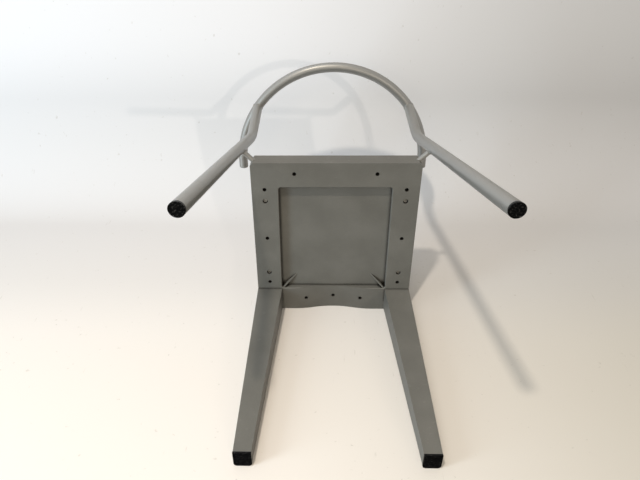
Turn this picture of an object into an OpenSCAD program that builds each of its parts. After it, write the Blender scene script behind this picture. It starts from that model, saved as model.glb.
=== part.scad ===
// Stacking chair. Two moulded shells make the seat and both front legs; a bent
// tube frame carries the horseshoe back and the rear legs.
//
// The chair stands on z = 0, x runs across it and y runs from front to back.
// Depths (the ..._y values) are measured back from the line on which the front
// faces of the front feet would meet the floor; to_frame() then centres the
// chair on the origin.

/* [Seat] */
// Height of the seat's upper face
seat_h = 435; // [420:1:470]
// Height of the whole seat block, rim face to upper face
seat_t = 42; // [38:1:50]
// Width of the seat at its front edge
seat_front_w = 337; // [320:1:360]
// Width of the seat at its rear edge
seat_rear_w = 334; // [310:1:350]
// Depth at which the seat ends
seat_rear_y = 383; // [370:1:400]
// Radius of the upright front corners and of the upper edges
edge_r = 6; // [4:0.5:8]
// Cut across each rear corner, where the rods enter
corner_cut = 6; // [4:0.5:9]
// Depth of the shallow round dish in the upper face
dish_depth = 6; // [3:0.5:8]
// Radius of the dish
dish_r = 150; // [120:1:155]

/* [Underside] */
// Width of the rim band left around the sunk centre pan
rim_w = 53.5; // [45:0.5:60]
// How far the pan is sunk above the rim face
pan_sink = 14; // [10:0.5:18]
// Depth at which the sunk pan starts
pan_front_y = 80.5; // [80:0.5:90]
// Corner radius of the sunk pan
pan_corner_r = 6; // [3:0.5:8]
// Bevel around the mouth of the sunk pan
pan_bevel = 1; // [0.5:0.25:1.25]
// Rise of the arch under the front rim
arch_rise = 9.5; // [5:0.5:12]
// Half the span of that arch
arch_half_span = 88; // [70:1:100]
// Length of each corner rib across the pan
rib_len = 44; // [30:1:55]
// Thickness of each corner rib
rib_t = 3; // [2:0.5:4]
// How far each corner rib starts from the corner, towards the middle
rib_shift = 2.5; // [0:0.5:4]

/* [Front legs] */
// Width of each leg where it leaves the rim
leg_top_w = 53.7; // [45:0.1:60]
// Width of each leg at the floor
leg_foot_w = 31; // [25:0.1:35]
// Distance from the centre to the outer side of each foot
foot_outer_x = 175.9; // [165:0.1:185]
// Depth at which the rear face of each leg meets the rim
leg_top_y = 79; // [70:1:80]
// Depth of each foot
leg_foot_d = 34; // [28:1:40]
// How far the front face rakes back between the floor and the rim
front_rake = 22; // [15:1:30]

/* [Moulding] */
// Wall of the two shells
wall = 3.5; // [2.5:0.5:4]
// How much of the block's height the upper shell takes, with the same share of the legs
upper_t = 16; // [13:0.5:16]

/* [Tube frame] */
// Outside diameter of the frame tube
tube_d = 22; // [20:0.5:25]
// Wall of the frame tube
tube_wall = 2; // [1.5:0.25:2.5]
// Radius of the horseshoe, to the middle of the tube
hoop_r = 226.5; // [215:0.5:235]
// Straight run at each end of the horseshoe
hoop_end = 15; // [10:0.5:30]
// Depth of the horseshoe's centre
hoop_y = 253; // [240:1:270]
// Height of the horseshoe's centre
hoop_z = 704; // [690:1:740]
// Slope of the horseshoe, back end up
hoop_slope = 3.7; // [0:0.1:6]
// Angle around the horseshoe from its back to each rear leg
leg_on_hoop = 53.5; // [45:0.5:60]
// Distance from the centre to the middle of each rear foot
rear_foot_x = 201.5; // [190:0.5:215]
// Depth of the middle of each rear foot
rear_foot_y = 500; // [480:1:520]
// Where the rear leg's two straight runs would cross
leg_bend = [181.5, 371, 561];
// Radius of that bend
leg_bend_r = 150; // [100:5:200]

/* [Rods and screws] */
// Diameter of the rods that carry the seat
rod_d = 10; // [8:0.5:12]
// Distance from the centre to each rod's long run
rod_x = 141; // [135:1:145]
// Depth at which each rod starts
rod_front_y = 106; // [104:1:115]
// Radius of the rod's bend
rod_bend_r = 20; // [15:1:30]
// Diameter of the holes that the shell screws sit in
shell_hole_d = 8; // [6.5:0.1:8.5]
// Depth of those holes
shell_hole_depth = 10; // [6:0.5:11]
// Diameter of the recesses for the rod screws
rod_recess_d = 10.5; // [9:0.5:12]
// Depth of those recesses
rod_recess_depth = 6; // [2:0.5:8]

/* [Feet and plugs] */
// Thickness of the front feet below the leg
front_foot_t = 3; // [2:0.5:5]
// How far the front feet stay inside the leg's faces, negative where they stand proud
front_foot_inset = -0.4; // [-1:0.1:1]
// Diameter of the rear feet
rear_foot_d = 22; // [21:0.1:24]
// Thickness of the rear feet along the leg's middle
rear_foot_t = 3; // [3:0.2:6]
// Length of every plug inside its tube or leg
plug_len = 16; // [10:1:25]
// Thickness of the rounded plug on each end of the horseshoe
hoop_plug_t = 5; // [3:0.5:8]

/* [Hidden] */

plastic = "#86867d";
steel = "#9b9c9c";
zinc = "#8f9190";
black = "#141414";

LEFT = -1;
RIGHT = 1;
ARC_STEPS = 6;            // points in each rounded corner
TUBE_FN = 64;
REACH = 500;              // longer than any cut has to be

rib_root = -2;            // each rib starts this far inside the pan's front wall
rear_rim_trim = 1.5;      // the rear rim band is this much narrower than the side ones

rim_z = seat_h - seat_t;
pan_z = rim_z + pan_sink;
skin = wall + 0.5;        // the sat-on skin is a little thicker
parting_z = seat_h - upper_t;
parting_share = upper_t / seat_t;
pan_rear_y = seat_rear_y - rim_w + rear_rim_trim;
leg_inner_x = seat_front_w / 2 - leg_top_w;
rod_z = pan_z + rod_d / 2;
tube_r = tube_d / 2;
tube_bore_r = tube_r - tube_wall;
rod_r = rod_d / 2;
bend_thinning = 0.1;      // a bend comes out this much thinner in radius than the straight bar
bend_taper = 1;           // length over which a straight bar thins towards its bend
least_cut = 0.5;          // no inner ring of the seat has a smaller cut at its rear corners
stub_inset = 0.5;         // how far the legs' stubs inside the seat are drawn in
rod_groove = 1;           // depth of the grooves that the rods lie in, in their bosses
weld_fill = 3;            // the legs stop this far short of the horseshoe's middle line

// Screws that close the shells: the two rear ones, three on each side and three in front.
rear_screws = [[-81, 360], [81, 360]];
side_screw_y = [326, 212, 98];
front_screws = [[-61, 51.5], [0, 53.5], [61, 51.5]];
shell_screw_places = concat(
    rear_screws,
    [for (s = [LEFT, RIGHT]) for (y = side_screw_y) [s * rod_x, y]],
    front_screws);
rod_screw_y = [300, 124];
rod_screw_places = [for (s = [LEFT, RIGHT]) for (y = rod_screw_y) [s * rod_x, y]];

// The front screws start from the arch, the others from the level rim.
function arch_here(p) = p.y < pan_front_y ? arch_z(p.x) : 0;
function head_z(p) = rim_z + arch_here(p) + shell_hole_depth;
// A screw that also passes through a rod is longer by the rod's thickness.
function meets_rod(p) = abs(p.x) == rod_x && p.y > rod_front_y;
function shank_len(p) = screw_len + (meets_rod(p) ? rod_d : 0);
function groove_here(p) = meets_rod(p) ? rod_groove : 0;

boss_r = 5.5;
screw_d = 4;
screw_fit = 0.1;          // play around each shank
screw_len = 13;
screw_head_t = 2.6;
rod_screw_d = 5;
rod_screw_head_d = 7;
rod_screw_head_t = 2.8;
rod_boss_r = 7;
rod_screw_len = pan_sink - rod_recess_depth + rod_d - 1;   // ends just inside the rod
cross_slot_w = 1.1;       // drive slots in the screw heads
cross_slot_t = 1.2;
stem_fit = 0.1;           // play between a front foot's stem and the leg around it
hoop_plug_edge = 1;       // straight edge below each hoop plug's dome

// Depth of the front and the rear face of the legs at height z.
function front_y(z) = front_rake * z / rim_z;
function rear_y(z) = leg_foot_d + (leg_top_y - leg_foot_d) * z / rim_z;
function leg_y(z, share) = front_y(z) + share * (rear_y(z) - front_y(z));
// Distance from the centre to the outer and the inner side of the legs at height z.
function outer_x(z) = foot_outer_x + (seat_front_w / 2 - foot_outer_x) * z / rim_z;
function inner_x(z) =
    foot_outer_x - leg_foot_w + (leg_inner_x - foot_outer_x + leg_foot_w) * z / rim_z;

// Height of the arch above the rim face at distance x: a crown between two flanks of
// the same radius.
arch_r = (arch_half_span * arch_half_span / 4 + arch_rise * arch_rise / 4) / arch_rise;
function arch_z(x) =
    abs(x) >= arch_half_span ? 0
    : abs(x) > arch_half_span / 2
        ? arch_r - sqrt(arch_r * arch_r - pow(arch_half_span - abs(x), 2))
        : arch_rise - arch_r + sqrt(arch_r * arch_r - x * x);

// Depth of the dish at distance r from its middle, level with the seat at its edge.
DISH_STEPS = 15;
dish_y = (front_y(seat_h) + seat_rear_y) / 2;
function dish_z(r) = dish_depth * (1 + cos(180 * r / dish_r)) / 2;

// Line of each rear leg, from the floor to the horseshoe, on the right side.
leg_foot = [rear_foot_x, rear_foot_y, 0];
leg_top = [hoop_r * sin(leg_on_hoop),
           hoop_y + hoop_r * cos(leg_on_hoop) * cos(hoop_slope),
           hoop_z + hoop_r * cos(leg_on_hoop) * sin(hoop_slope)];
leg_low_dir = unit(leg_bend - leg_foot);
leg_start = leg_foot + rear_foot_t * leg_low_dir;
leg_end = leg_top - weld_fill * unit(leg_top - leg_bend);

// The rod leaves the seat's corner at 45 degrees and ends on the middle of the leg.
leg_at_rod = leg_foot + leg_low_dir * rod_z / leg_low_dir.z;
rod_turn_y = leg_at_rod.y - (leg_at_rod.x - rod_x);

// Reach of a rear foot behind its middle, where the floor cuts it.
rear_reach = rear_foot_d / 2 * sqrt(1 - pow(leg_low_dir.x, 2)) / leg_low_dir.z;
front_most_y = min(front_y(front_foot_t), front_foot_inset);
middle_y = (front_most_y + rear_foot_y + rear_reach) / 2;

module to_frame() translate([0, -middle_y, 0]) children();

function unit(v) = v / norm(v);

// ---- Lofts -------------------------------------------------------------------

// Joins rings that all have the same number of points into one solid.
module loft(rings) {
    n = len(rings[0]);
    last = len(rings) - 1;
    points = [for (ring = rings) each ring];
    sides = [for (k = [0:last - 1]) for (i = [0:n - 1])
        let (a = k * n + i, b = k * n + (i + 1) % n)
        each [[a, a + n, b], [b, a + n, b + n]]];
    polyhedron(points, concat(
        [[for (i = [0:n - 1]) i]],
        sides,
        [[for (i = [n - 1:-1:0]) last * n + i]]));
}

function lift(outline, z) = [for (p = outline) [p.x, p.y, z]];

// Rounds the corner at c, with a the angle at which the round starts.
function corner(c, r, a) = [for (i = [0:ARC_STEPS]) c + r * [cos(a + 90 * i / ARC_STEPS),
                                                            sin(a + 90 * i / ARC_STEPS)]];

// Outline of the seat at height z, drawn in from its faces by inset.
function seat_outline(z, inset) =
    let (y0 = front_y(z) + inset, y1 = seat_rear_y - inset,
         w0 = seat_front_w / 2 - inset, w1 = seat_rear_w / 2 - inset,
         cut = max(corner_cut - inset * (2 - sqrt(2)), least_cut),
         r = max(edge_r - inset, 1))
    concat(corner([w0 - r, y0 + r], r, -90),
           [[w1, y1 - cut], [w1 - cut, y1], [cut - w1, y1], [-w1, y1 - cut]],
           corner([r - w0, y0 + r], r, 180));

// Outline of the right leg at height z, drawn in from its faces by inset.
function leg_outline(z, inset) =
    let (x0 = inner_x(z) + inset, x1 = outer_x(z) - inset,
         y0 = front_y(z) + inset, y1 = rear_y(z) - inset,
         r = max(edge_r - inset, 1))
    concat(corner([x1 - r, y0 + r], r, -90), [[x1, y1], [x0, y1]],
           corner([x0 + r, y0 + r], r, 180));

function pan_outline(inset) =
    let (w0 = seat_front_w / 2 - rim_w - inset, w1 = seat_rear_w / 2 - rim_w - inset,
         y0 = pan_front_y + inset, y1 = pan_rear_y - inset, r = pan_corner_r)
    concat(corner([w0 - r, y0 + r], r, -90), corner([w1 - r, y1 - r], r, 0),
           corner([r - w1, y1 - r], r, 90), corner([r - w0, y0 + r], r, 180));

module both_sides() {
    children();
    mirror([1, 0, 0]) children();
}

// ---- The moulded body, before it is parted ------------------------------------

module seat_block() {
    loft(concat(
        [lift(seat_outline(rim_z, 0), rim_z)],
        [for (i = [0:ARC_STEPS])
            let (a = 90 * i / ARC_STEPS, z = seat_h - edge_r * (1 - sin(a)))
            lift(seat_outline(z, edge_r * (1 - cos(a))), z)]));
}

// A leg from z0 to z1, and a drawn-in stub above it that reaches into the seat.
module leg_block(inset, z0, z1) {
    both_sides()
        loft([lift(leg_outline(z0, inset), z0),
              lift(leg_outline(z1, inset), z1),
              lift(leg_outline(z1 + 1, inset + stub_inset), z1 + 1)]);
}

// Everything below the arched underside of the front rim, raised by up.
module under_arch(up) {
    translate([0, pan_front_y, rim_z + up]) rotate([90, 0, 0])
        linear_extrude(REACH)
            union() {
                translate([-leg_inner_x, -REACH]) square([2 * leg_inner_x, REACH]);
                intersection() {
                    translate([0, arch_rise - arch_r]) circle(arch_r, $fn = 360);
                    translate([-arch_half_span / 2, -1])
                        square([arch_half_span, arch_rise + 2]);
                }
                for (s = [LEFT, RIGHT]) arch_flank(s);
            }
}

module arch_flank(side) {
    difference() {
        translate([side * arch_half_span * 3 / 4 - arch_half_span / 4, -1])
            square([arch_half_span / 2, 1 + arch_rise / 2]);
        translate([side * arch_half_span, arch_r]) circle(arch_r, $fn = 360);
    }
}

module cavity() {
    difference() {
        loft([lift(seat_outline(rim_z, wall), rim_z + wall),
              lift(seat_outline(seat_h - skin, wall), seat_h - skin)]);
        linear_extrude(pan_z + wall) polygon(pan_outline(-wall));
        under_arch(wall);
    }
    leg_block(wall, -1, rim_z + wall);
}

module body_shell() {
    difference() {
        union() {
            seat_block();
            leg_block(0, front_foot_t, rim_z);
        }
        cavity();
        linear_extrude(pan_z) polygon(pan_outline(0));
        loft([lift(pan_outline(-pan_bevel - 1), rim_z - 1),
              lift(pan_outline(0), rim_z + pan_bevel)]);
        intersection() {
            under_arch(0);
            translate([-arch_half_span, -1, rim_z - 1])
                cube([2 * arch_half_span, pan_front_y + 2, arch_rise + 2]);
        }
    }
}

// The part of space that the upper shell takes: all above the parting line, the front
// of each leg, and the front wall between the legs.
module upper_zone() {
    translate([-REACH, -REACH, parting_z]) cube([2 * REACH, 2 * REACH, seat_t]);
    both_sides()
        front_wedge(leg_inner_x, REACH, leg_y(0, parting_share), leg_y(parting_z, parting_share));
    both_sides()
        front_wedge(0, leg_inner_x, wall, front_y(parting_z) + wall);
}

module front_wedge(x0, x1, low_y, high_y) {
    translate([x0, 0, 0]) rotate([90, 0, 90])
        linear_extrude(x1 - x0)
            polygon([[-REACH, 0], [low_y, 0], [high_y, parting_z], [high_y, parting_z + 1],
                     [-REACH, parting_z + 1]]);
}

// ---- Sub-parts: mouldings -----------------------------------------------------

module seat_upper_shell() {
    color(plastic) to_frame() difference() {
        union() {
            intersection() {
                body_shell();
                upper_zone();
            }
            dish(DISH_STEPS - 1, seat_h - skin, seat_h - 1);
            for (p = shell_screw_places) upper_boss(p);
        }
        dish(DISH_STEPS, seat_h, seat_h + 1);
        for (p = shell_screw_places)
            translate([p.x, p.y, head_z(p)])
                cylinder(d = screw_d + screw_fit, h = shank_len(p) + 1, $fn = TUBE_FN);
    }
}

// The round dish as a solid: its curve, measured down from level, closed at height top
// after the given number of steps out from the middle.
module dish(steps, level, top) {
    curve = [for (i = [0:steps]) let (r = dish_r * i / DISH_STEPS) [r, level - dish_z(r)]];
    translate([0, dish_y, 0])
        rotate_extrude($fn = 180)
            polygon(concat(curve, [[curve[steps].x, top], [0, top]]));
}

// Hangs from the skin and ends on the rod, or on the lower shell's boss where no rod runs.
module upper_boss(p) {
    z = meets_rod(p) ? rod_z + rod_r : pan_z + arch_here(p);
    translate([p.x, p.y, z]) cylinder(r = boss_r, h = seat_h - skin - z + 1, $fn = TUBE_FN);
}

module seat_lower_shell() {
    color(plastic) to_frame() difference() {
        union() {
            difference() {
                body_shell();
                upper_zone();
            }
            for (p = shell_screw_places)
                translate([p.x, p.y, rim_z + arch_here(p)])
                    cylinder(r = boss_r, h = pan_sink + groove_here(p), $fn = TUBE_FN);
            for (p = rod_screw_places)
                translate([p.x, p.y, rim_z])
                    cylinder(r = rod_boss_r, h = pan_sink + rod_groove, $fn = TUBE_FN);
            both_sides() corner_rib();
        }
        for (p = shell_screw_places)
            translate([p.x, p.y, rim_z - 1]) {
                cylinder(d = shell_hole_d, h = head_z(p) - rim_z + 1, $fn = TUBE_FN);
                cylinder(d = screw_d + screw_fit, h = seat_t, $fn = TUBE_FN);
            }
        for (p = rod_screw_places)
            translate([p.x, p.y, rim_z - 1]) {
                cylinder(d = rod_recess_d, h = rod_recess_depth + 1, $fn = TUBE_FN);
                cylinder(d = rod_screw_d + screw_fit, h = seat_t, $fn = TUBE_FN);
            }
        both_sides() rod_path(rod_r);
    }
}

// Thin triangular rib from the rim in each front corner of the pan down to nothing.
module corner_rib() {
    translate([seat_front_w / 2 - rim_w - rib_shift, pan_front_y, 0])
        rotate([90, 0, 135])
            translate([0, 0, -rib_t / 2])
                linear_extrude(rib_t)
                    polygon([[rib_root, rim_z + 0.3], [rib_root, pan_z + 1], [rib_len + 3, pan_z + 1],
                             [rib_len, pan_z]]);
}

module front_foot(side) {
    color(black) to_frame()
        mirror([side == LEFT ? 1 : 0, 0, 0]) {
            loft([lift(leg_outline(0, front_foot_inset), 0),
                  lift(leg_outline(front_foot_t, front_foot_inset), front_foot_t)]);
            loft([lift(leg_outline(front_foot_t, wall + stem_fit), front_foot_t - 1),
                  lift(leg_outline(plug_len, wall + stem_fit), plug_len)]);
        }
}

// ---- Sub-parts: tube frame ----------------------------------------------------

// Carries children from the z axis to a line that starts at p and runs along dir, with
// the x axis turned as near as it goes to the direction toward.
module aim(p, dir, toward) {
    polar = acos(unit(dir).z);
    azimuth = atan2(dir.y, dir.x);
    x_axis = [cos(polar) * cos(azimuth), cos(polar) * sin(azimuth), -sin(polar)];
    y_axis = [-sin(azimuth), cos(azimuth), 0];
    translate(p) rotate([0, polar, azimuth])
        rotate([0, 0, atan2(toward * y_axis, toward * x_axis)]) children();
}

// A round bar of radius r from a to c that turns near b on a bend of radius bend_r.
module bent_bar(a, b, c, bend_r, r, extra = 0) {
    turn = acos(unit(b - a) * unit(c - b));
    tangent = bend_r * tan(turn / 2);
    first = norm(b - a) - tangent;
    aim(a, b - a, c - b)
        translate([bend_r, 0, first]) {
            rotate([90, 0, 0]) rotate([0, 0, 180 - turn])
                rotate_extrude(angle = turn, $fn = 4 * TUBE_FN)
                    translate([bend_r, 0]) circle(r - bend_thinning, $fn = TUBE_FN);
            translate([-bend_r, 0, 0]) mirror([0, 0, 1]) straight_bar(r, first + extra);
            translate([-bend_r * cos(turn), 0, bend_r * sin(turn)]) rotate([0, turn, 0])
                straight_bar(r, norm(c - b) - tangent + extra);
        }
}

// A straight bar up the z axis, with its thinned end below z = 0, inside the bend.
module straight_bar(r, length) {
    thin_r = r - 2 * bend_thinning;
    rotate_extrude($fn = TUBE_FN)
        polygon([[0, -bend_taper], [thin_r, -bend_taper], [r, 0], [r, length], [0, length]]);
}

module hoop_bar(r, extra = 0) {
    translate([0, hoop_y, hoop_z]) rotate([hoop_slope, 0, 0]) {
        rotate_extrude(angle = 180, $fn = 4 * TUBE_FN)
            translate([hoop_r, 0]) circle(r, $fn = TUBE_FN);
        both_sides()
            translate([hoop_r, 0, 0]) rotate([90, 0, 0])
                cylinder(r = r, h = hoop_end + extra, $fn = TUBE_FN);
    }
}

module back_hoop() {
    color(steel) to_frame() difference() {
        hoop_bar(tube_r);
        hoop_bar(tube_bore_r, 1);
    }
}

module hoop_plug(side) {
    round_r = hoop_plug_t - hoop_plug_edge;
    color(zinc) to_frame()
        translate([0, hoop_y, hoop_z]) rotate([hoop_slope, 0, 0])
            translate([side * hoop_r, -hoop_end, 0]) rotate([90, 0, 0])
                rotate_extrude($fn = TUBE_FN)
                    polygon(concat(
                        [[0, -plug_len], [tube_bore_r, -plug_len], [tube_bore_r, 0], [tube_r, 0]],
                        [for (i = [0:ARC_STEPS])
                            let (a = 90 * i / ARC_STEPS)
                            [tube_r - round_r * (1 - cos(a)), hoop_plug_edge + round_r * sin(a)]],
                        [[0, hoop_plug_t]]));
}

module rear_leg(side) {
    color(steel) to_frame()
        mirror([side == LEFT ? 1 : 0, 0, 0])
            difference() {
                bent_bar(leg_start, leg_bend, leg_end, leg_bend_r, tube_r);
                bent_bar(leg_start, leg_bend, leg_end, leg_bend_r, tube_bore_r, 1);
                hoop_bar(tube_r);
            }
}

module rear_foot(side) {
    color(black) to_frame()
        mirror([side == LEFT ? 1 : 0, 0, 0])
            difference() {
                aim(leg_foot, leg_low_dir, [1, 0, 0]) {
                    translate([0, 0, -rear_foot_d / 2])
                        cylinder(d = rear_foot_d, h = rear_foot_d / 2 + rear_foot_t, $fn = TUBE_FN);
                    cylinder(r = tube_bore_r, h = rear_foot_t + plug_len, $fn = TUBE_FN);
                }
                translate([0, 0, -REACH]) linear_extrude(REACH) square(3 * REACH, center = true);
            }
}

// ---- Sub-parts: rods and screws -----------------------------------------------

// The line of the right rod at radius r, from inside the side rim to the rear leg.
module rod_path(r) {
    bent_bar([rod_x, rod_front_y, rod_z], [rod_x, rod_turn_y, rod_z],
             [leg_at_rod.x, leg_at_rod.y, rod_z], rod_bend_r, r);
}

module seat_bearer(side) {
    color(steel) to_frame()
        mirror([side == LEFT ? 1 : 0, 0, 0])
            difference() {
                rod_path(rod_r);
                aim(leg_foot, leg_low_dir, [1, 0, 0]) cylinder(r = tube_r, h = REACH, $fn = TUBE_FN);
                for (y = concat(side_screw_y, rod_screw_y))
                    translate([rod_x, y, rod_z - rod_d])
                        cylinder(d = rod_screw_d + screw_fit, h = 2 * rod_d, $fn = TUBE_FN);
            }
}

module shell_screws() {
    color(zinc) to_frame()
        for (p = shell_screw_places)
            translate([p.x, p.y, head_z(p)])
                screw(shell_hole_d - 2 * screw_fit, screw_head_t, screw_d, shank_len(p));
}

module bearer_screws() {
    color(zinc) to_frame()
        for (p = rod_screw_places)
            translate([p.x, p.y, rim_z + rod_recess_depth])
                screw(rod_screw_head_d, rod_screw_head_t, rod_screw_d, rod_screw_len);
}

// A screw that points up from its head, which hangs below z = 0 and has a cross drive.
module screw(head_d, head_t, shank_d, length) {
    difference() {
        union() {
            translate([0, 0, -head_t]) cylinder(d = head_d, h = head_t, $fn = TUBE_FN);
            cylinder(d = shank_d, h = length, $fn = TUBE_FN);
        }
        for (a = [0, 90])
            rotate([0, 0, a])
                translate([-head_d / 3, -cross_slot_w / 2, -head_t - 1])
                    cube([head_d * 2 / 3, cross_slot_w, cross_slot_t + 1]);
    }
}

seat_upper_shell();
seat_lower_shell();
back_hoop();
hoop_plug(LEFT);  // left_hoop_plug
hoop_plug(RIGHT);  // right_hoop_plug
rear_leg(LEFT);  // left_rear_leg
rear_leg(RIGHT);  // right_rear_leg
seat_bearer(LEFT);  // left_seat_bearer
seat_bearer(RIGHT);  // right_seat_bearer
front_foot(LEFT);  // left_front_foot
front_foot(RIGHT);  // right_front_foot
rear_foot(LEFT);  // left_rear_foot
rear_foot(RIGHT);  // right_rear_foot
shell_screws();
bearer_screws();
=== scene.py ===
"""Finishes, studio and camera for the stacking chair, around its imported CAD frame.

The chair's own shapes are the CAD solids. This script gives each of them its finish,
adds the weld beads that join its tubes, and sets up the studio. The chair is seen lying
on the fronts of its front legs, so the studio's "floor" is a raking plane that those
fronts touch, and it turns up into a wall beyond the horseshoe.
"""

import logging
import math
from collections.abc import Callable
from dataclasses import dataclass, field
from enum import Enum

import bpy
import numpy as np
from mathutils import Matrix, Vector


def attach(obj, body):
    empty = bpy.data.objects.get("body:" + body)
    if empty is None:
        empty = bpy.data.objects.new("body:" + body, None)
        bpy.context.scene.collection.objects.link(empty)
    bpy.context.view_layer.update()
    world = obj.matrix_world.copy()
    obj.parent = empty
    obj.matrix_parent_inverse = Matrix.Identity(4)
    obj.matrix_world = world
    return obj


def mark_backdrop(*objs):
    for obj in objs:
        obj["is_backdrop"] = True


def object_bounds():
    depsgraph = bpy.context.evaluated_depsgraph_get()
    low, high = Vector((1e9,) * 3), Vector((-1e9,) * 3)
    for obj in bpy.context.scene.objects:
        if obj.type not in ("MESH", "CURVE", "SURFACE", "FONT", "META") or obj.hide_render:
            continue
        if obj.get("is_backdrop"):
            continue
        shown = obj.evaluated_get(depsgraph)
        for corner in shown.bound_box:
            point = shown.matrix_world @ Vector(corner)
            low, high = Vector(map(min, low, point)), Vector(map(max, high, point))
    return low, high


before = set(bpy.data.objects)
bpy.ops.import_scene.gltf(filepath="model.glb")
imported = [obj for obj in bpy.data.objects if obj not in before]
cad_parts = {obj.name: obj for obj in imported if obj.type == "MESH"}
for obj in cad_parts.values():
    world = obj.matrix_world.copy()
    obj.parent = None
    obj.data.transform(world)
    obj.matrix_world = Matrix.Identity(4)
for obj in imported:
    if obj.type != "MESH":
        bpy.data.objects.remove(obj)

LOG = logging.getLogger("stacking_chair")
Band = tuple[float, float]
Colour = tuple[float, float, float]
Point = tuple[float, float, float]


class Slot(Enum):
    """The record's material slots."""

    SEAT = "seat_plastic"
    FRAME = "frame_steel"
    PLUG = "end_plug"
    FOOT = "foot_rubber"
    SCREW = "screw_zinc"


# ---- Shader maths -------------------------------------------------------------------


class Wire:
    """One output socket of a node tree, for use in arithmetic."""

    def __init__(self, recipe: "Recipe", socket: bpy.types.NodeSocket) -> None:
        """Remembers the socket and the recipe that it belongs to."""
        self.recipe = recipe
        self.socket = socket

    def _maths(self, operation: str, *values: "Wire | float") -> "Wire":
        """Adds a Math node.

        Args:
            operation: the Math node's operation.
            values: its inputs in order.

        Returns:
            The node's result.
        """
        return self.recipe.node(
            "ShaderNodeMath", {"operation": operation}, dict(enumerate(values))
        )

    def __add__(self, other: "Wire | float") -> "Wire":
        """Sum."""
        return self._maths("ADD", self, other)

    def __radd__(self, other: float) -> "Wire":
        """Sum with a number in front."""
        return self._maths("ADD", other, self)

    def __sub__(self, other: "Wire | float") -> "Wire":
        """Difference."""
        return self._maths("SUBTRACT", self, other)

    def __rsub__(self, other: float) -> "Wire":
        """Difference from a number."""
        return self._maths("SUBTRACT", other, self)

    def __mul__(self, other: "Wire | float") -> "Wire":
        """Product."""
        return self._maths("MULTIPLY", self, other)

    def __rmul__(self, other: float) -> "Wire":
        """Product with a number in front."""
        return self._maths("MULTIPLY", other, self)

    def at_least(self, other: "Wire | float") -> "Wire":
        """The larger of two values."""
        return self._maths("MAXIMUM", self, other)

    def ramp(self, band: Band) -> "Wire":
        """Adds a smooth step that holds both its ends.

        Args:
            band: the value that gives 0 and the one that gives 1.

        Returns:
            The step, from 0 to 1.
        """
        low, high = band
        return self.recipe.node(
            "ShaderNodeMapRange",
            {"interpolation_type": "SMOOTHSTEP", "clamp": True},
            {"Value": self, "From Min": low, "From Max": high},
        )


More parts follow.
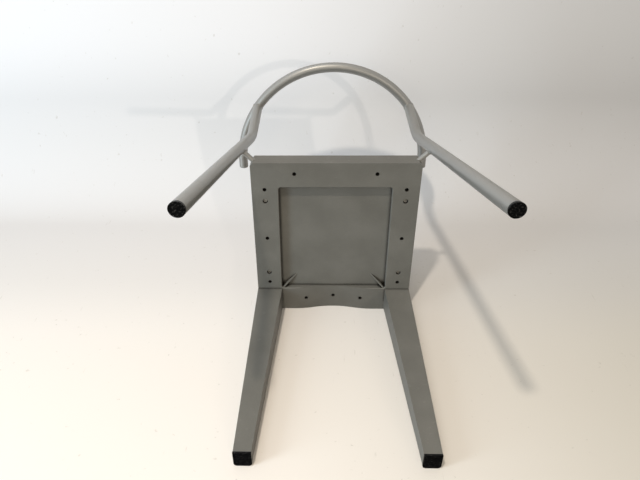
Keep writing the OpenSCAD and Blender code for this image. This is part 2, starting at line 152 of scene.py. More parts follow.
class Recipe:
    """The node tree of one material, or of the world."""

    # The Mix node repeats its sockets for each kind of data. These are the colours'.
    MIX_FIRST, MIX_SECOND, MIX_RESULT = 6, 7, 2

    def __init__(self, owner: bpy.types.Material | bpy.types.World) -> None:
        """Starts an empty node tree with its output.

        Args:
            owner: the new material or world.
        """
        owner.use_nodes = True
        self.owner = owner
        self.tree = owner.node_tree
        self.tree.nodes.clear()
        kind = "World" if isinstance(owner, bpy.types.World) else "Material"
        self.output = self.tree.nodes.new(f"ShaderNodeOutput{kind}")

    @classmethod
    def named(cls, name: str) -> "Recipe":
        """Starts a new material with that name."""
        return cls(bpy.data.materials.new(name))

    def node(
        self,
        kind: str,
        settings: dict[str, object] | None = None,
        inputs: dict[str | int, object] | None = None,
        output: str | int = 0,
    ) -> Wire:
        """Adds any node.

        Args:
            kind: the node's type.
            settings: its own settings, which are set first.
            inputs: a value or a link for each named or numbered input.
            output: the output that is wanted.

        Returns:
            That output.
        """
        made = self.tree.nodes.new(kind)
        for key, value in (settings or {}).items():
            setattr(made, key, value)
        for key, value in (inputs or {}).items():
            socket = made.inputs[key]
            if isinstance(value, Wire):
                self.tree.links.new(value.socket, socket)
            elif isinstance(value, tuple) and socket.type == "RGBA":
                socket.default_value = (*value, 1.0)
            else:
                socket.default_value = value
        return Wire(self, made.outputs[output])

    def place(self) -> Wire:
        """The shaded point's place in metres."""
        return self.node("ShaderNodeTexCoord", output="Object")

    def axis(self, place: Wire, name: str) -> Wire:
        """One coordinate, X, Y or Z, of a place."""
        return self.node("ShaderNodeSeparateXYZ", None, {0: place}, name)

    def noise(self, place: Wire, scale: float | Point, detail: float) -> Wire:
        """Adds smooth noise.

        Args:
            place: where the noise is read.
            scale: how many features there are to a metre, at large or along each axis.
            detail: how many finer layers are added.

        Returns:
            The noise, from 0 to 1.
        """
        if isinstance(scale, tuple):
            inputs = {"Vector": place, "Scale": scale}
            place, scale = self.node("ShaderNodeMapping", None, inputs), 1.0
        return self.node(
            "ShaderNodeTexNoise",
            {"noise_dimensions": "3D"},
            {"Vector": place, "Scale": scale, "Detail": detail},
        )

    def cells(self, place: Wire, scale: float) -> Wire:
        """Adds the distance to the nearest of scattered points.

        Args:
            place: where the distance is read.
            scale: how many points there are to a metre.

        Returns:
            The distance, as a share of the points' spacing.
        """
        return self.node(
            "ShaderNodeTexVoronoi",
            {"feature": "F1"},
            {"Vector": place, "Scale": scale},
            "Distance",
        )

    def hollow(self, reach: float) -> Wire:
        """Adds an ambient-occlusion mask of crevices, where the surface's own piece closes
        a point in; it is used to paint shade there.

        Args:
            reach: how far round the point the piece is looked for, in metres.

        Returns:
            0 where the point is open, up to 1 deep in a crevice.
        """
        return 1 - self.node(
            "ShaderNodeAmbientOcclusion",
            {"samples": 8, "only_local": True},
            {"Distance": reach},
            "AO",
        )

    def in_sight(self) -> Wire:
        """Adds a mask of the rays that carry a view: seen, in gloss and through glass.

        Returns:
            1 for those rays, and 0 for the rays that carry soft light or shadow.
        """
        seen, glossy, passed = (
            self.node("ShaderNodeLightPath", output=f"Is {kind} Ray")
            for kind in ("Camera", "Glossy", "Transmission")
        )
        return seen.at_least(glossy).at_least(passed)

    def mixed(
        self, share: Wire | float, first: Wire | Colour, second: Wire | Colour
    ) -> Wire:
        """Adds a mix of two colours.

        Args:
            share: the second colour's share, from 0 to 1.
            first: the first colour.
            second: the second colour.

        Returns:
            The mixed colour.
        """
        return self.node(
            "ShaderNodeMix",
            {"data_type": "RGBA"},
            {"Factor": share, self.MIX_FIRST: first, self.MIX_SECOND: second},
            self.MIX_RESULT,
        )

    def bump(self, height: Wire, depth: float) -> Wire:
        """A normal for a surface raised by height times depth in metres."""
        return self.node("ShaderNodeBump", None, {"Height": height, "Distance": depth})

    def surface(self, inputs: dict[str, object]) -> bpy.types.Material:
        """Ends the tree in a Principled surface, given its inputs by name."""
        return self.shown(self.node("ShaderNodeBsdfPrincipled", None, inputs))

    def shown(self, shader: Wire) -> bpy.types.Material | bpy.types.World:
        """Links a shader to the output and returns the material or world."""
        self.tree.links.new(shader.socket, self.output.inputs["Surface"])
        return self.owner


# ---- Finishes -----------------------------------------------------------------------
#
# Sizes and depths are in metres, and scales count features to a metre. A band is the
# range of a pattern's values over which its mark comes up, and a share says how strong
# the mark gets.


@dataclass(frozen=True)
class MouldedPlastic:
    """Satin moulded plastic: spark-eroded grain, dust, rubbed places and painted shade in
    crevices.
    """

    colour: Colour = (0.133, 0.131, 0.120)
    dust: Colour = (0.20, 0.196, 0.182)
    mottle: Colour = (0.095, 0.093, 0.085)
    # Painted shade: the near-black colour mixed into crevices, holes and recesses.
    crevice_shade: Colour = (0.012, 0.010, 0.007)
    speck: Colour = (0.33, 0.325, 0.30)
    patch_size: float = 0.07
    patch_height: float = 0.6
    dust_band: Band = (0.35, 0.75)
    dust_share: float = 0.45
    scuff_scale: Point = (90.0, 700.0, 60.0)
    scuff_band: Band = (0.66, 0.72)
    scuff_share: float = 0.25
    grain_size: float = 0.0009
    grain_depth: float = 0.00006
    mottle_band: Band = (0.3, 0.7)
    mottle_share: float = 0.12
    # Painted shade: how far occlusion looks round a point, and the band over which it
    # darkens.
    crevice: float = 0.009
    crevice_shade_band: Band = (0.15, 0.60)
    speck_scale: float = 260.0
    speck_band: Band = (0.10, 0.22)
    speck_share: float = 0.10
    roughness: float = 0.46
    patch_roughness: float = 0.10
    polish_band: Band = (0.6, 0.75)
    polish: float = 0.06
    gloss: float = 0.5

    def material(self, name: str) -> bpy.types.Material:
        """Builds the finish.

        Args:
            name: the material's name.

        Returns:
            The material.
        """
        recipe = Recipe.named(name)
        place = recipe.place()
        patches = recipe.noise(place, 1 / self.patch_size, detail=5.0)
        grain = recipe.noise(place, 1 / self.grain_size, detail=2.0)
        specks = 1 - recipe.cells(place, self.speck_scale).ramp(self.speck_band)
        scuffs = recipe.noise(place, self.scuff_scale, detail=2.0)
        dusty = patches.ramp(self.dust_band) * self.dust_share
        scuffed = scuffs.ramp(self.scuff_band) * self.scuff_share
        mottled = grain.ramp(self.mottle_band) * self.mottle_share
        # Painted shade: ambient occlusion darkens the plastic in its crevices, holes and
        # recesses.
        crevice_shaded = recipe.hollow(self.crevice).ramp(self.crevice_shade_band)
        polished = scuffs.ramp(self.polish_band) * self.polish
        tone = recipe.mixed(dusty + scuffed, self.colour, self.dust)
        tone = recipe.mixed(mottled, tone, self.mottle)
        # The painted shade is mixed in here.
        tone = recipe.mixed(crevice_shaded, tone, self.crevice_shade)
        return recipe.surface(
            {
                "Base Color": recipe.mixed(specks * self.speck_share, tone, self.speck),
                "Roughness": self.roughness + patches * self.patch_roughness - polished,
                "Normal": recipe.bump(
                    grain + patches * self.patch_height, self.grain_depth
                ),
                "Specular IOR Level": self.gloss,
            }
        )


@dataclass(frozen=True)
class PaintedTube:
    """Satin silver paint over steel tube: fine flake, faint orange peel, scratches."""

    colour: Colour = (0.235, 0.233, 0.226)
    flake: Colour = (0.335, 0.332, 0.32)
    rubbed: Colour = (0.17, 0.167, 0.158)
    flake_scale: float = 1500.0
    gap_band: Band = (0.15, 0.55)
    gap_share: float = 0.35
    peel_scale: float = 420.0
    peel_depth: float = 0.00005
    wear_scale: float = 26.0
    wear_band: Band = (0.62, 0.78)
    wear_share: float = 0.35
    scratch_scale: Point = (700.0, 700.0, 45.0)
    scratch_band: Band = (0.70, 0.76)
    scratch_share: float = 0.4
    scratch_height: float = 0.3
    roughness: float = 0.36
    wear_roughness: float = 0.10
    burr_band: Band = (0.68, 0.76)
    burr_roughness: float = 0.1
    metal: float = 0.60
    coat: float = 0.08

    def material(self, name: str) -> bpy.types.Material:
        """Builds the finish.

        Args:
            name: the material's name.

        Returns:
            The material.
        """
        recipe = Recipe.named(name)
        place = recipe.place()
        gaps = recipe.cells(place, self.flake_scale).ramp(self.gap_band)
        peel = recipe.noise(place, self.peel_scale, detail=2.0)
        wear = recipe.noise(place, self.wear_scale, detail=5.0)
        scratch = recipe.noise(place, self.scratch_scale, detail=2.0)
        painted = recipe.mixed(gaps * self.gap_share, self.flake, self.colour)
        worn = wear.ramp(self.wear_band) * self.wear_share
        scratched = scratch.ramp(self.scratch_band) * self.scratch_share
        burrs = scratch.ramp(self.burr_band) * self.burr_roughness
        return recipe.surface(
            {
                "Base Color": recipe.mixed(worn + scratched, painted, self.rubbed),
                "Metallic": self.metal,
                "Roughness": self.roughness + wear * self.wear_roughness + burrs,
                "Normal": recipe.bump(
                    peel + scratch * self.scratch_height, self.peel_depth
                ),
                "Coat Weight": self.coat,
            }
        )


@dataclass(frozen=True)
class SmoothPlug:
    """Light grey plug: plain plastic with a dull skin and handling marks."""

    colour: Colour = (0.28, 0.28, 0.27)
    mark: Colour = (0.19, 0.19, 0.185)
    mark_scale: float = 160.0
    mark_band: Band = (0.5, 0.75)
    mark_share: float = 0.5
    skin_scale: float = 900.0
    skin_depth: float = 0.00004
    roughness: float = 0.42
    mark_roughness: float = 0.12

    def material(self, name: str) -> bpy.types.Material:
        """Builds the finish.

        Args:
            name: the material's name.

        Returns:
            The material.
        """
        recipe = Recipe.named(name)
        place = recipe.place()
        marks = recipe.noise(place, self.mark_scale, detail=4.0)
        marked = marks.ramp(self.mark_band) * self.mark_share
        skin = recipe.noise(place, self.skin_scale, detail=2.0)
        return recipe.surface(
            {
                "Base Color": recipe.mixed(marked, self.colour, self.mark),
                "Roughness": self.roughness + marks * self.mark_roughness,
                "Normal": recipe.bump(skin, self.skin_depth),
            }
        )


@dataclass(frozen=True)
class BlackFoot:
    """Black glide plastic: glossy skin, scuffed grey where it slides on floors."""

    colour: Colour = (0.0025, 0.0025, 0.003)
    scuff: Colour = (0.16, 0.155, 0.15)
    rub_scale: float = 420.0
    rub_band: Band = (0.54, 0.68)
    rub_share: float = 0.36
    line_scale: Point = (160.0, 1600.0, 160.0)
    line_band: Band = (0.64, 0.74)
    line_share: float = 0.2
    sole_band: Band = (0.0006, 0.0024)
    sole_share: float = 0.85
    side_share: float = 0.05
    scuff_depth: float = 0.00008
    roughness: float = 0.38
    scuff_roughness: float = 0.3
    gloss: float = 0.15

    def material(self, name: str) -> bpy.types.Material:
        """Builds the finish.

        Args:
            name: the material's name.

        Returns:
            The material.
        """
        recipe = Recipe.named(name)
        place = recipe.place()
        rubbed = recipe.noise(place, self.rub_scale, detail=4.0).ramp(self.rub_band)
        lines = recipe.noise(place, self.line_scale, detail=2.0)
        sole = 1 - recipe.axis(place, "Z").ramp(self.sole_band)
        marks = rubbed * self.rub_share + lines.ramp(self.line_band) * self.line_share
        scuffed = marks * (sole * self.sole_share + self.side_share)
        return recipe.surface(
            {
                "Base Color": recipe.mixed(scuffed, self.colour, self.scuff),
                "Roughness": self.roughness + scuffed * self.scuff_roughness,
                "Normal": recipe.bump(lines + rubbed, self.scuff_depth),
                "Specular IOR Level": self.gloss,
            }
        )


@dataclass(frozen=True)
class SteelScrew:
    """Bare steel screw heads, darker where they have tarnished."""

    colour: Colour
    tarnish: Colour
    stain_scale: float = 420.0
    stain_band: Band = (0.45, 0.7)
    brush_scale: float = 2500.0
    brush_depth: float = 0.00003
    roughness: float = 0.36
    stain_roughness: float = 0.2
    metal: float = 0.8

    def material(self, name: str) -> bpy.types.Material:
        """Builds the finish.

        Args:
            name: the material's name.

        Returns:
            The material.
        """
        recipe = Recipe.named(name)
        place = recipe.place()
        stain = recipe.noise(place, self.stain_scale, detail=4.0)
        stained = stain.ramp(self.stain_band)
        brushed = recipe.noise(place, self.brush_scale, detail=2.0)
        return recipe.surface(
            {
                "Base Color": recipe.mixed(stained, self.colour, self.tarnish),
                "Metallic": self.metal,
                "Roughness": self.roughness + stain * self.stain_roughness,
                "Normal": recipe.bump(brushed, self.brush_depth),
            }
        )


@dataclass(frozen=True)
class BackdropPaper:
    """Pale paper with specks and drawn-out marks, which shows from its upper side.

    It shows to sight, in gloss and through glass, and other light passes it. Level, it
    has one tone. Lying, it carries painted light and shade: it goes from warm at the feet
    to a cool painted light tint up the wall, has painted falloff shade towards -x, and
    painted shade in two steps on its way to the turn.
    """

    lying: bool
    warm: Colour = (0.94, 0.90, 0.88)
    # Painted light: the cool tint of the window light up the wall.
    cool_light_tint: Colour = (0.925, 0.93, 0.985)
    # Painted shade: the tones of the light's falloff towards -x, on the floor and the
    # wall, and of the shade towards the turn.
    falloff_shade: Colour = (0.70, 0.67, 0.62)
    wall_falloff_shade: Colour = (0.72, 0.715, 0.735)
    cove_shade: Colour = (0.60, 0.60, 0.62)
    mark: Colour = (0.42, 0.39, 0.35)
    far_band: Band = (0.1, 0.95)
    falloff_band: Band = (-0.25, 0.75)
    near_shade_band: Band = (0.28, 0.52)
    near_shade_share: float = 0.22
    far_shade_band: Band = (0.72, 0.98)
    far_shade_share: float = 0.25
    wall_band: Band = (-0.08, 0.26)
    speck_scale: Point = (90.0, 60.0, 130.0)
    speck_band: Band = (0.68, 0.76)
    speck_share: float = 0.30
    line_scale: Point = (150.0, 40.0, 18.0)
    line_band: Band = (0.72, 0.78)
    line_share: float = 0.25

    def _tone(self, recipe: Recipe, place: Wire) -> Wire | Colour:
        """Mixes the paper's tone, with its painted light and shade, before its marks.

        Args:
            recipe: the material's tree.
            place: the shaded point's place.

        Returns:
            The tone.
        """
        if not self.lying:
            return self.warm
        across, tall, up = (recipe.axis(place, name) for name in "XYZ")
        # Painted light and shade: a cool light tint up the wall, falloff shade towards -x,
        # and two steps of shade on the way to the turn.
        far = up.ramp(self.far_band)
        bright = recipe.mixed(far, self.warm, self.cool_light_tint)
        falloff_shaded = recipe.mixed(far, self.falloff_shade, self.wall_falloff_shade)
        tone = recipe.mixed((0 - across).ramp(self.falloff_band), bright, falloff_shaded)
        near_shade = up.ramp(self.near_shade_band) * self.near_shade_share
        far_shade = up.ramp(self.far_shade_band) * self.far_shade_share
        on_floor = 1 - tall.ramp(self.wall_band)
        return recipe.mixed((near_shade + far_shade) * on_floor, tone, self.cove_shade)

    def material(self, name: str) -> bpy.types.Material:
        """Builds the paper.

        Args:
            name: the material's name.

        Returns:
            The material.
        """
        recipe = Recipe.named(name)
        place = recipe.place()
        specks = recipe.noise(place, self.speck_scale, detail=5.0).ramp(self.speck_band)
        lines = recipe.noise(place, self.line_scale, detail=3.0).ramp(self.line_band)
        marks = specks * self.speck_share + lines * self.line_share
        tone = recipe.mixed(marks, self._tone(recipe, place), self.mark)
        paper = recipe.node("ShaderNodeBsdfDiffuse", None, {"Color": tone})
        clear = recipe.node("ShaderNodeBsdfTransparent")
        behind = recipe.node("ShaderNodeNewGeometry", output="Backfacing")
        seen = recipe.in_sight() * (1 - behind)
        return recipe.shown(
            recipe.node("ShaderNodeMixShader", None, {0: seen, 1: clear, 2: paper})
        )


# ---- Chair --------------------------------------------------------------------------


@dataclass
class SeatMouldings:
    """The two shells of the seat and front legs."""

    nodes: tuple[str, ...] = ("seat_upper_shell", "seat_lower_shell")
    finish: MouldedPlastic = field(default_factory=MouldedPlastic)

    def build(self) -> None:
        """Dresses the shells."""
        dress(self.nodes, self.finish.material("Moulded_plastic"))


@dataclass
class TubeFrame:
    """The horseshoe, its plugs, the rear legs and the rods that carry the seat."""

    tubes: tuple[str, ...] = (
        "back_hoop",
        "left_rear_leg",
        "right_rear_leg",
        "left_seat_bearer",
        "right_seat_bearer",
    )
    plugs: tuple[str, ...] = ("left_hoop_plug", "right_hoop_plug")
    tube_finish: PaintedTube = field(default_factory=PaintedTube)
    plug_finish: SmoothPlug = field(default_factory=SmoothPlug)

    def build(self) -> None:
        """Dresses the tubes and the plugs."""
        dress(self.tubes, self.tube_finish.material("Silver_tube"))
        dress(self.plugs, self.plug_finish.material("Grey_plug"))


@dataclass
class Feet:
    """The four black feet."""

    nodes: tuple[str, ...] = (
        "left_front_foot",
        "right_front_foot",
        "left_rear_foot",
        "right_rear_foot",
    )
    finish: BlackFoot = field(default_factory=BlackFoot)

    def build(self) -> None:
        """Dresses the feet."""
        dress(self.nodes, self.finish.material("Black_foot"))


@dataclass
class Screws:
    """The black screws that close the shells, whose near-black colour is partly painted
    shade of their deep holes, and the bright ones that hold the rods.
    """

    # Painted shade: the shell screws' near-black colour is partly their dark finish and
    # partly the shade deep in their holes.
    shell_finish: SteelScrew = SteelScrew((0.022, 0.021, 0.020), (0.010, 0.010, 0.010))
    rod_finish: SteelScrew = SteelScrew((0.36, 0.35, 0.32), (0.09, 0.085, 0.075))

    def build(self) -> None:
        """Dresses the screws."""
        dress(("shell_screws",), self.shell_finish.material("Black_screw_hole_shade"))
        dress(("bearer_screws",), self.rod_finish.material("Steel_screw"))


@dataclass
class Welds:
    """The beads that join the rear legs to the horseshoe and the rods to the legs.

    Each bead is a thin closed tube, and the line that it follows is where two of the
    chair's round bars meet. Lengths are in metres and angles in degrees, and y counts
    back from the chair's foremost point. The places are those of the right-hand side.
    """

    bead: float = 0.0013
    bead_sides: int = 10
    ripple: float = 0.1
    ripples: int = 44
    ripple_steps: int = 6
    tube_radius: float = 0.011
    rod_radius: float = 0.005
    hoop_radius: float = 0.2265
    hoop_centre: Point = (0.0, 0.2534, 0.704)
    hoop_slope: float = 3.7
    leg_on_hoop: float = 53.5
    leg_foot: Point = (0.2015, 0.5004, 0.0)
    leg_bend: Point = (0.1815, 0.3714, 0.561)
    rod_height: float = 0.412
    rod_heading: Point = (-1.0, -1.0, 0.0)
    askew: Point = (0.3, 0.5, 0.8)
    search: float = 0.055
    halvings: int = 40
    finish: PaintedTube = field(default_factory=PaintedTube)

    def build(self, front: float) -> None:
        """Builds the four beads and dresses them.

        Args:
            front: y of the chair's foremost point.
        """
        back = np.array([0.0, front, 0.0])
        foot, bend = np.array(self.leg_foot) + back, np.array(self.leg_bend) + back
        centre = np.array(self.hoop_centre) + back
        slope, angle = math.radians(self.hoop_slope), math.radians(self.leg_on_hoop)
        along = np.array([0.0, math.cos(slope), math.sin(slope)])
        across = np.array([1.0, 0.0, 0.0])
        out = math.sin(angle) * across + math.cos(angle) * along
        top = centre + self.hoop_radius * out
        low = _unit(bend - foot)
        rod_end = foot + low * self.rod_height / low[2]

        def off_hoop(points: np.ndarray) -> np.ndarray:
            """Works out how far points are from the horseshoe's middle line, a circle.

            Args:
                points: the points.

            Returns:
                Their distances.
            """
            place = points - centre
            beyond = np.hypot(place @ across, place @ along) - self.hoop_radius
            return np.hypot(beyond, place @ np.cross(across, along))

        def off_leg(points: np.ndarray) -> np.ndarray:
            """Distances of points from the middle line of the leg's lower run."""
            return np.linalg.norm(np.cross(points - foot, low), axis=-1)

        paint = self.finish.material("Weld_paint")
        rod_heading = _unit(np.array(self.rod_heading))
        joints = {
            "hoop": (top, _unit(bend - top), self.tube_radius, off_hoop),
            "rod": (rod_end, rod_heading, self.rod_radius, off_leg),
        }
        for name, joint in joints.items():
            line, outwards = self._meeting_line(*joint)
            for side, flip in (("left", -1.0), ("right", 1.0)):
                mirror = np.array([flip, 1.0, 1.0])
                bead = self._bead(
                    f"{side}_{name}_weld", line * mirror, outwards * mirror
                )
                bead.data.materials.append(paint)
                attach(bead, "root")
                LOG.info("welded %s", bead.name)

    def _meeting_line(
        self,
        start: np.ndarray,
        heading: np.ndarray,
        radius: float,
        distance: Callable[[np.ndarray], np.ndarray],
    ) -> tuple[np.ndarray, np.ndarray]:
        """The closed line where a round bar meets another tube's surface.

        From each point around the bar's end, the way along the bar is halved until the
        point is one tube radius off the other tube's middle line.

        Args:
            start: the end of the bar's middle line, inside the other tube.
            heading: the bar's direction away from there.
            radius: the bar's radius.
            distance: gives points' distances from the other tube's middle line.

        Returns:
            The line's points, and the bar's outward direction at each.
        """
        side = _unit(np.cross(heading, self.askew))
        count = self.ripples * self.ripple_steps
        angle = np.linspace(0.0, 2 * math.pi, count, endpoint=False)[:, None]
        outwards = np.cos(angle) * side + np.sin(angle) * np.cross(heading, side)
        rim = start + radius * outwards
        near, far = np.zeros_like(angle), np.full_like(angle, self.search)
        for _ in range(self.halvings):
            middle = (near + far) / 2
            clear = distance(rim + middle * heading)[:, None] > self.tube_radius
            far = np.where(clear, middle, far)
            near = np.where(clear, near, middle)
        return rim + far * heading, outwards

    def _bead(
        self, name: str, line: np.ndarray, outwards: np.ndarray
    ) -> bpy.types.Object:
        """A closed tube along a closed line, a little thicker at each ripple.

        Each of the line's points gets a circle across the line, whose radius is the
        bead's times 1 plus a sine wave of the ripples.

        Args:
            name: the object's name.
            line: the line's points.
            outwards: a direction across the line at each point.

        Returns:
            The bead.
        """
        tangent = _unit(np.roll(line, -1, 0) - np.roll(line, 1, 0))
        lengthwise = tangent * np.sum(outwards * tangent, -1, keepdims=True)
        first = _unit(outwards - lengthwise)
        second = np.cross(tangent, first)
        turn = np.linspace(0.0, 2 * math.pi, self.bead_sides, endpoint=False)
        turn = turn[None, :, None]
        wave = np.sin(np.arange(len(line)) * 2 * math.pi / self.ripple_steps)
        thick = self.bead * (1 + self.ripple * wave[:, None, None])
        ring = np.cos(turn) * first[:, None] + np.sin(turn) * second[:, None]
        return closed_tube(name, line[:, None] + thick * ring)


def _unit(vectors: np.ndarray) -> np.ndarray:
    """Vectors at length 1."""
    return vectors / np.linalg.norm(vectors, axis=-1, keepdims=True)


def closed_tube(name: str, grid: np.ndarray) -> bpy.types.Object:
    """A ring-shaped surface from a grid of points that closes on itself both ways.

    Each point (i, j) is joined to (i + 1, j), (i + 1, j + 1) and (i, j + 1), counted
    round. Where the faces come out turned inwards, as their signed volume tells, the
    order of their corners is turned.

    Args:
        name: the object's name.
        grid: the points, by row, column and coordinate.

    Returns:
        The surface as an object.
    """
    index = np.arange(grid.shape[0] * grid.shape[1]).reshape(grid.shape[:2])
    down, right = np.roll(index, -1, 0), np.roll(index, -1, 1)
    faces = np.stack([index, down, np.roll(down, -1, 1), right], -1).reshape(-1, 4)
    points = grid.reshape(-1, 3)
    corner = points[faces]
    volume = np.sum(corner[:, 0] * np.cross(corner[:, 1], corner[:, 2]))
    volume += np.sum(corner[:, 0] * np.cross(corner[:, 2], corner[:, 3]))
    if volume < 0:
        faces = faces[:, ::-1]
    return linked_mesh(name, points, faces)


def linked_mesh(name: str, points: np.ndarray, faces: np.ndarray) -> bpy.types.Object:
    """Puts a smooth surface into the scene.

    Args:
        name: the object's name.
        points: the points' places.
        faces: the numbers of each face's corners.

    Returns:
        The surface as an object.
    """
    mesh = bpy.data.meshes.new(name)
    mesh.from_pydata(points.tolist(), [], faces.tolist())
    mesh.polygons.foreach_set("use_smooth", np.ones(len(faces), bool))
    made = bpy.data.objects.new(name, mesh)
    bpy.context.scene.collection.objects.link(made)
    return made


def dress(nodes: tuple[str, ...], material: bpy.types.Material) -> None:
    """Gives CAD nodes their finish.

    Args:
        nodes: the nodes' names.
        material: the finish.
    """
    for name in nodes:
        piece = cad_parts[name]
        for held in piece.material_slots:
            held.material = material
        if not piece.material_slots:
            piece.data.materials.append(material)
        LOG.info("dressed %s as %s", name, material.name)


# ---- Studio -------------------------------------------------------------------------


@dataclass(frozen=True)
class Lamp:
    """A soft round lamp at a place, a tall one, or a distant one in a direction.

    Attributes:
        name: the lamp's name.
        place: where it is in metres, or for a distant lamp the direction to it.
        level: the light that falls on a surface square to the lamp at the target.
        size: how wide it is in metres, or for a distant lamp in degrees.
        colour: its colour.
        distant: whether its light comes from far away.
        tall: how tall it is in metres, where it isn't round.
    """

    name: str
    place: Point
    level: float
    size: float
    colour: Colour
    distant: bool = False
    tall: float = 0.0

    def build(self, target: Vector) -> None:
        """Adds the lamp, facing the target.

        A disc that sends out P watts gives P / (pi * distance squared) at the target.

        Args:
            target: the place that the lamp faces.
        """
        data = bpy.data.lights.new(self.name, "SUN" if self.distant else "AREA")
        towards = Vector(self.place) - (Vector() if self.distant else target)
        if self.distant:
            data.energy = self.level
            data.angle = math.radians(self.size)
        else:
            data.shape = "ELLIPSE"
            data.size = self.tall or self.size
            data.size_y = self.size
            data.energy = self.level * math.pi * towards.length_squared
        data.color = self.colour
        lamp = bpy.data.objects.new(self.name, data)
        lamp.rotation_mode = "QUATERNION"
        lamp.rotation_quaternion = towards.to_track_quat("Z", "Y")
        if not self.distant:
            lamp.location = self.place
        bpy.context.scene.collection.objects.link(lamp)


@dataclass
class Studio:
    """The raking floor that the chair lies on, its wall, the level floor and the lamps.

    Both floors show only from their upper sides, so that every view of the chair stays
    open, and neither takes light off the chair. Each keeps a hair's gap from the chair.
    The floor rakes as the front legs do: their fronts lean by 22 mm over 393 mm.
    """

    gap: float = 0.0004
    rake: float = 22 / 393
    run_below: float = 0.5
    wall_at: float = 1.0
    cove_radius: float = 0.28
    cove_steps: int = 25
    wall_run: float = 2.2
    half_width: float = 1.6
    level_reach: float = 2.0
    ambient: float = 0.13
    window_share: float = 0.14
    sky_share: float = 0.22
    sky_band: Band = (-0.6, 0.9)
    shade_tone: Colour = (1.0, 0.87, 0.64)
    window_tone: Colour = (0.96, 0.98, 1.0)
    background: Colour = (0.97, 0.97, 0.98)
    background_level: float = 0.93
    target: Point = (0.0, -0.05, 0.30)
    lamps: tuple[Lamp, ...] = (
        Lamp("Lamp_ceiling", (0.403, 1.95, -0.581), 1.26, 0.11, (1.0, 0.89, 0.74)),
        Lamp(
            "Lamp_window", (2.1, 0.30, -0.85), 2.05, 0.75, (0.75, 0.91, 1.0), tall=2.4
        ),
        Lamp("Lamp_head", (0.3, 0.9, -1.6), 0.50, 0.8, (1.0, 0.88, 0.66)),
        Lamp("Lamp_top", (0.30, 0.80, -0.20), 0.32, 25.0, (0.95, 0.98, 1.0), True),
        Lamp("Lamp_side", (-0.365, 0.2, -0.907), 0.29, 1.2, (1.0, 0.90, 0.78), True),
        Lamp("Lamp_upper", (0.10, -0.30, 0.95), 0.85, 80.0, (1.0, 0.99, 0.97), True),
    )

    def build(self, lowest: Vector) -> None:
        """Builds the stage, the world and the lamps.

        Args:
            lowest: the lowest corner of the chair's box.
        """
        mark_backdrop(self._lying_floor(lowest.y), self._level_floor())
        self._world()
        for lamp in self.lamps:
            lamp.build(Vector(self.target))

    def _lying_floor(self, front: float) -> bpy.types.Object:
        """The floor and wall of the main view, one sheet.

        A profile in the y-z plane, a straight run that rakes by the legs' angle, a
        quarter turn and a straight wall, is carried along x.

        Args:
            front: y of the chair's foremost point.

        Returns:
            The sheet.
        """
        foot = front - self.gap
        turn_at = self.wall_at - self.cove_radius
        start = np.array([foot - self.rake * self.run_below, -self.run_below])
        base = np.array([foot + self.rake * turn_at, turn_at])
        angle = np.linspace(0.0, math.pi / 2, self.cove_steps)
        turn = np.column_stack([1 - np.cos(angle), np.sin(angle)])
        cove = base + self.cove_radius * turn
        top = cove[-1] + np.array([self.wall_run, 0.0])
        profile = np.vstack([start, base, cove[1:], top])
        paper = BackdropPaper(lying=True).material("Backdrop_paper")
        return self._sheet("Lying_floor", profile, paper)

    def _level_floor(self) -> bpy.types.Object:
        """The level floor under the standing chair.

        Returns:
            The sheet.
        """
        reach, height = self.level_reach, -self.gap
        profile = np.array([[reach, height], [-reach, height]])
        paper = BackdropPaper(lying=False).material("Floor_paper")
        return self._sheet("Level_floor", profile, paper)

    def _sheet(
        self, name: str, profile: np.ndarray, material: bpy.types.Material
    ) -> bpy.types.Object:
        """Carries a profile of y and z along x.

        Args:
            name: the object's name.
            profile: one row of y and z for each point.
            material: the sheet's material.

        Returns:
            The sheet as an object.
        """
        count = len(profile)
        left = np.column_stack([np.full(count, -self.half_width), profile])
        right = np.column_stack([np.full(count, self.half_width), profile])
        lower = np.arange(count - 1)
        faces = np.column_stack([lower, lower + 1, lower + 1 + count, lower + count])
        sheet = linked_mesh(name, np.vstack([left, right]), faces)
        sheet.data.materials.append(material)
        return sheet

    def _world(self) -> None:
        """A plain world: pale to sight, and as light, brighter above and to a side.

        For the lying chair, above is +y. The light gets cooler towards the side, +x.
        """
        world = bpy.data.worlds.new("Studio_world")
        bpy.context.scene.world = world
        recipe = Recipe(world)
        heading = recipe.node("ShaderNodeTexCoord", output="Generated")
        side = recipe.axis(heading, "X") * 0.5 + 0.5
        above = recipe.axis(heading, "Y").ramp(self.sky_band)
        seen = recipe.in_sight()
        light = self.ambient + side * self.window_share + above * self.sky_share
        tone = recipe.mixed(side, self.shade_tone, self.window_tone)
        inputs = {
            "Color": recipe.mixed(seen, tone, self.background),
            "Strength": light * (1 - seen) + seen * self.background_level,
        }
        recipe.shown(recipe.node("ShaderNodeBackground", None, inputs))


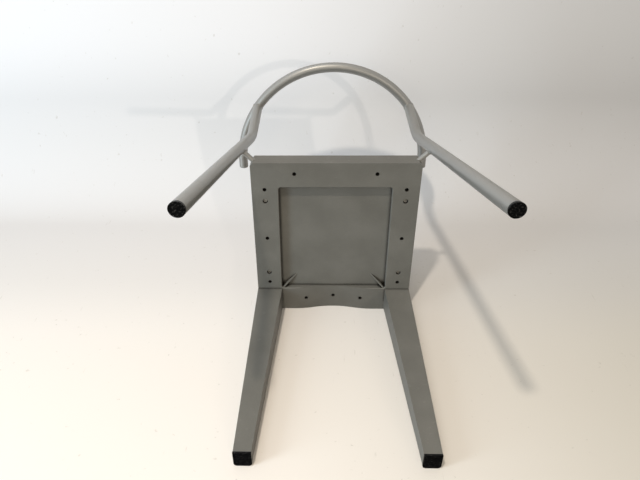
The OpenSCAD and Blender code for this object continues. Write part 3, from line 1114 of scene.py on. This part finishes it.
@dataclass(frozen=True)
class Viewpoint:
    """The camera, low behind the lying chair and looking along it.

    Angles are in degrees, the lens and sensor in millimetres, the shift in widths of
    the view, and the rest in metres.
    """

    place: Point = (0.03042, 0.55188, -0.54927)
    tilt: float = 33.52
    turn: float = -1.34
    roll: float = -0.22
    lens: float = 29.808
    sensor_width: float = 36.0
    shift: tuple[float, float] = (0.0196, 0.0153)
    clip: Band = (0.01, 50.0)

    def build(self) -> None:
        """Creates the camera and makes it the scene's.

        The view starts along +z with its top towards +y. It is tilted down towards -y,
        then turned about its own upright, then rolled about its own line of sight. The
        sums have +x on the right. Such a view has -x there, so x is flipped at the end.
        """
        tilt, turn, roll = (math.radians(a) for a in (self.tilt, self.turn, self.roll))
        right = np.array([1.0, 0.0, 0.0])
        down = np.array([0.0, -math.cos(tilt), -math.sin(tilt)])
        ahead = np.array([0.0, -math.sin(tilt), math.cos(tilt)])
        right, ahead = (
            math.cos(turn) * right - math.sin(turn) * ahead,
            math.sin(turn) * right + math.cos(turn) * ahead,
        )
        right, down = (
            math.cos(roll) * right + math.sin(roll) * down,
            math.cos(roll) * down - math.sin(roll) * right,
        )
        flip = np.array([-1.0, 1.0, 1.0])
        columns = np.column_stack([right * flip, -down * flip, -ahead * flip])
        turned = Matrix(columns.tolist()).to_4x4()
        data = bpy.data.cameras.new("Camera")
        data.sensor_width = self.sensor_width
        data.lens = self.lens
        data.shift_x, data.shift_y = self.shift
        data.clip_start, data.clip_end = self.clip
        camera = bpy.data.objects.new("Camera", data)
        camera.matrix_world = Matrix.Translation(self.place) @ turned
        bpy.context.scene.collection.objects.link(camera)
        bpy.context.scene.camera = camera


def main() -> None:
    """Builds the chair's finishes, the studio and the camera."""
    logging.basicConfig(level=logging.INFO, format="%(name)s: %(message)s")
    cad_low, cad_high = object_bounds()
    bpy.context.scene.view_settings.view_transform = "Standard"
    for part in (SeatMouldings(), TubeFrame(), Feet(), Screws()):
        part.build()
        LOG.info("built %s", type(part).__name__)
    Welds().build(cad_low.y)
    LOG.info("built Welds")
    Studio().build(cad_low)
    Viewpoint().build()


if __name__ == "__main__":
    main()
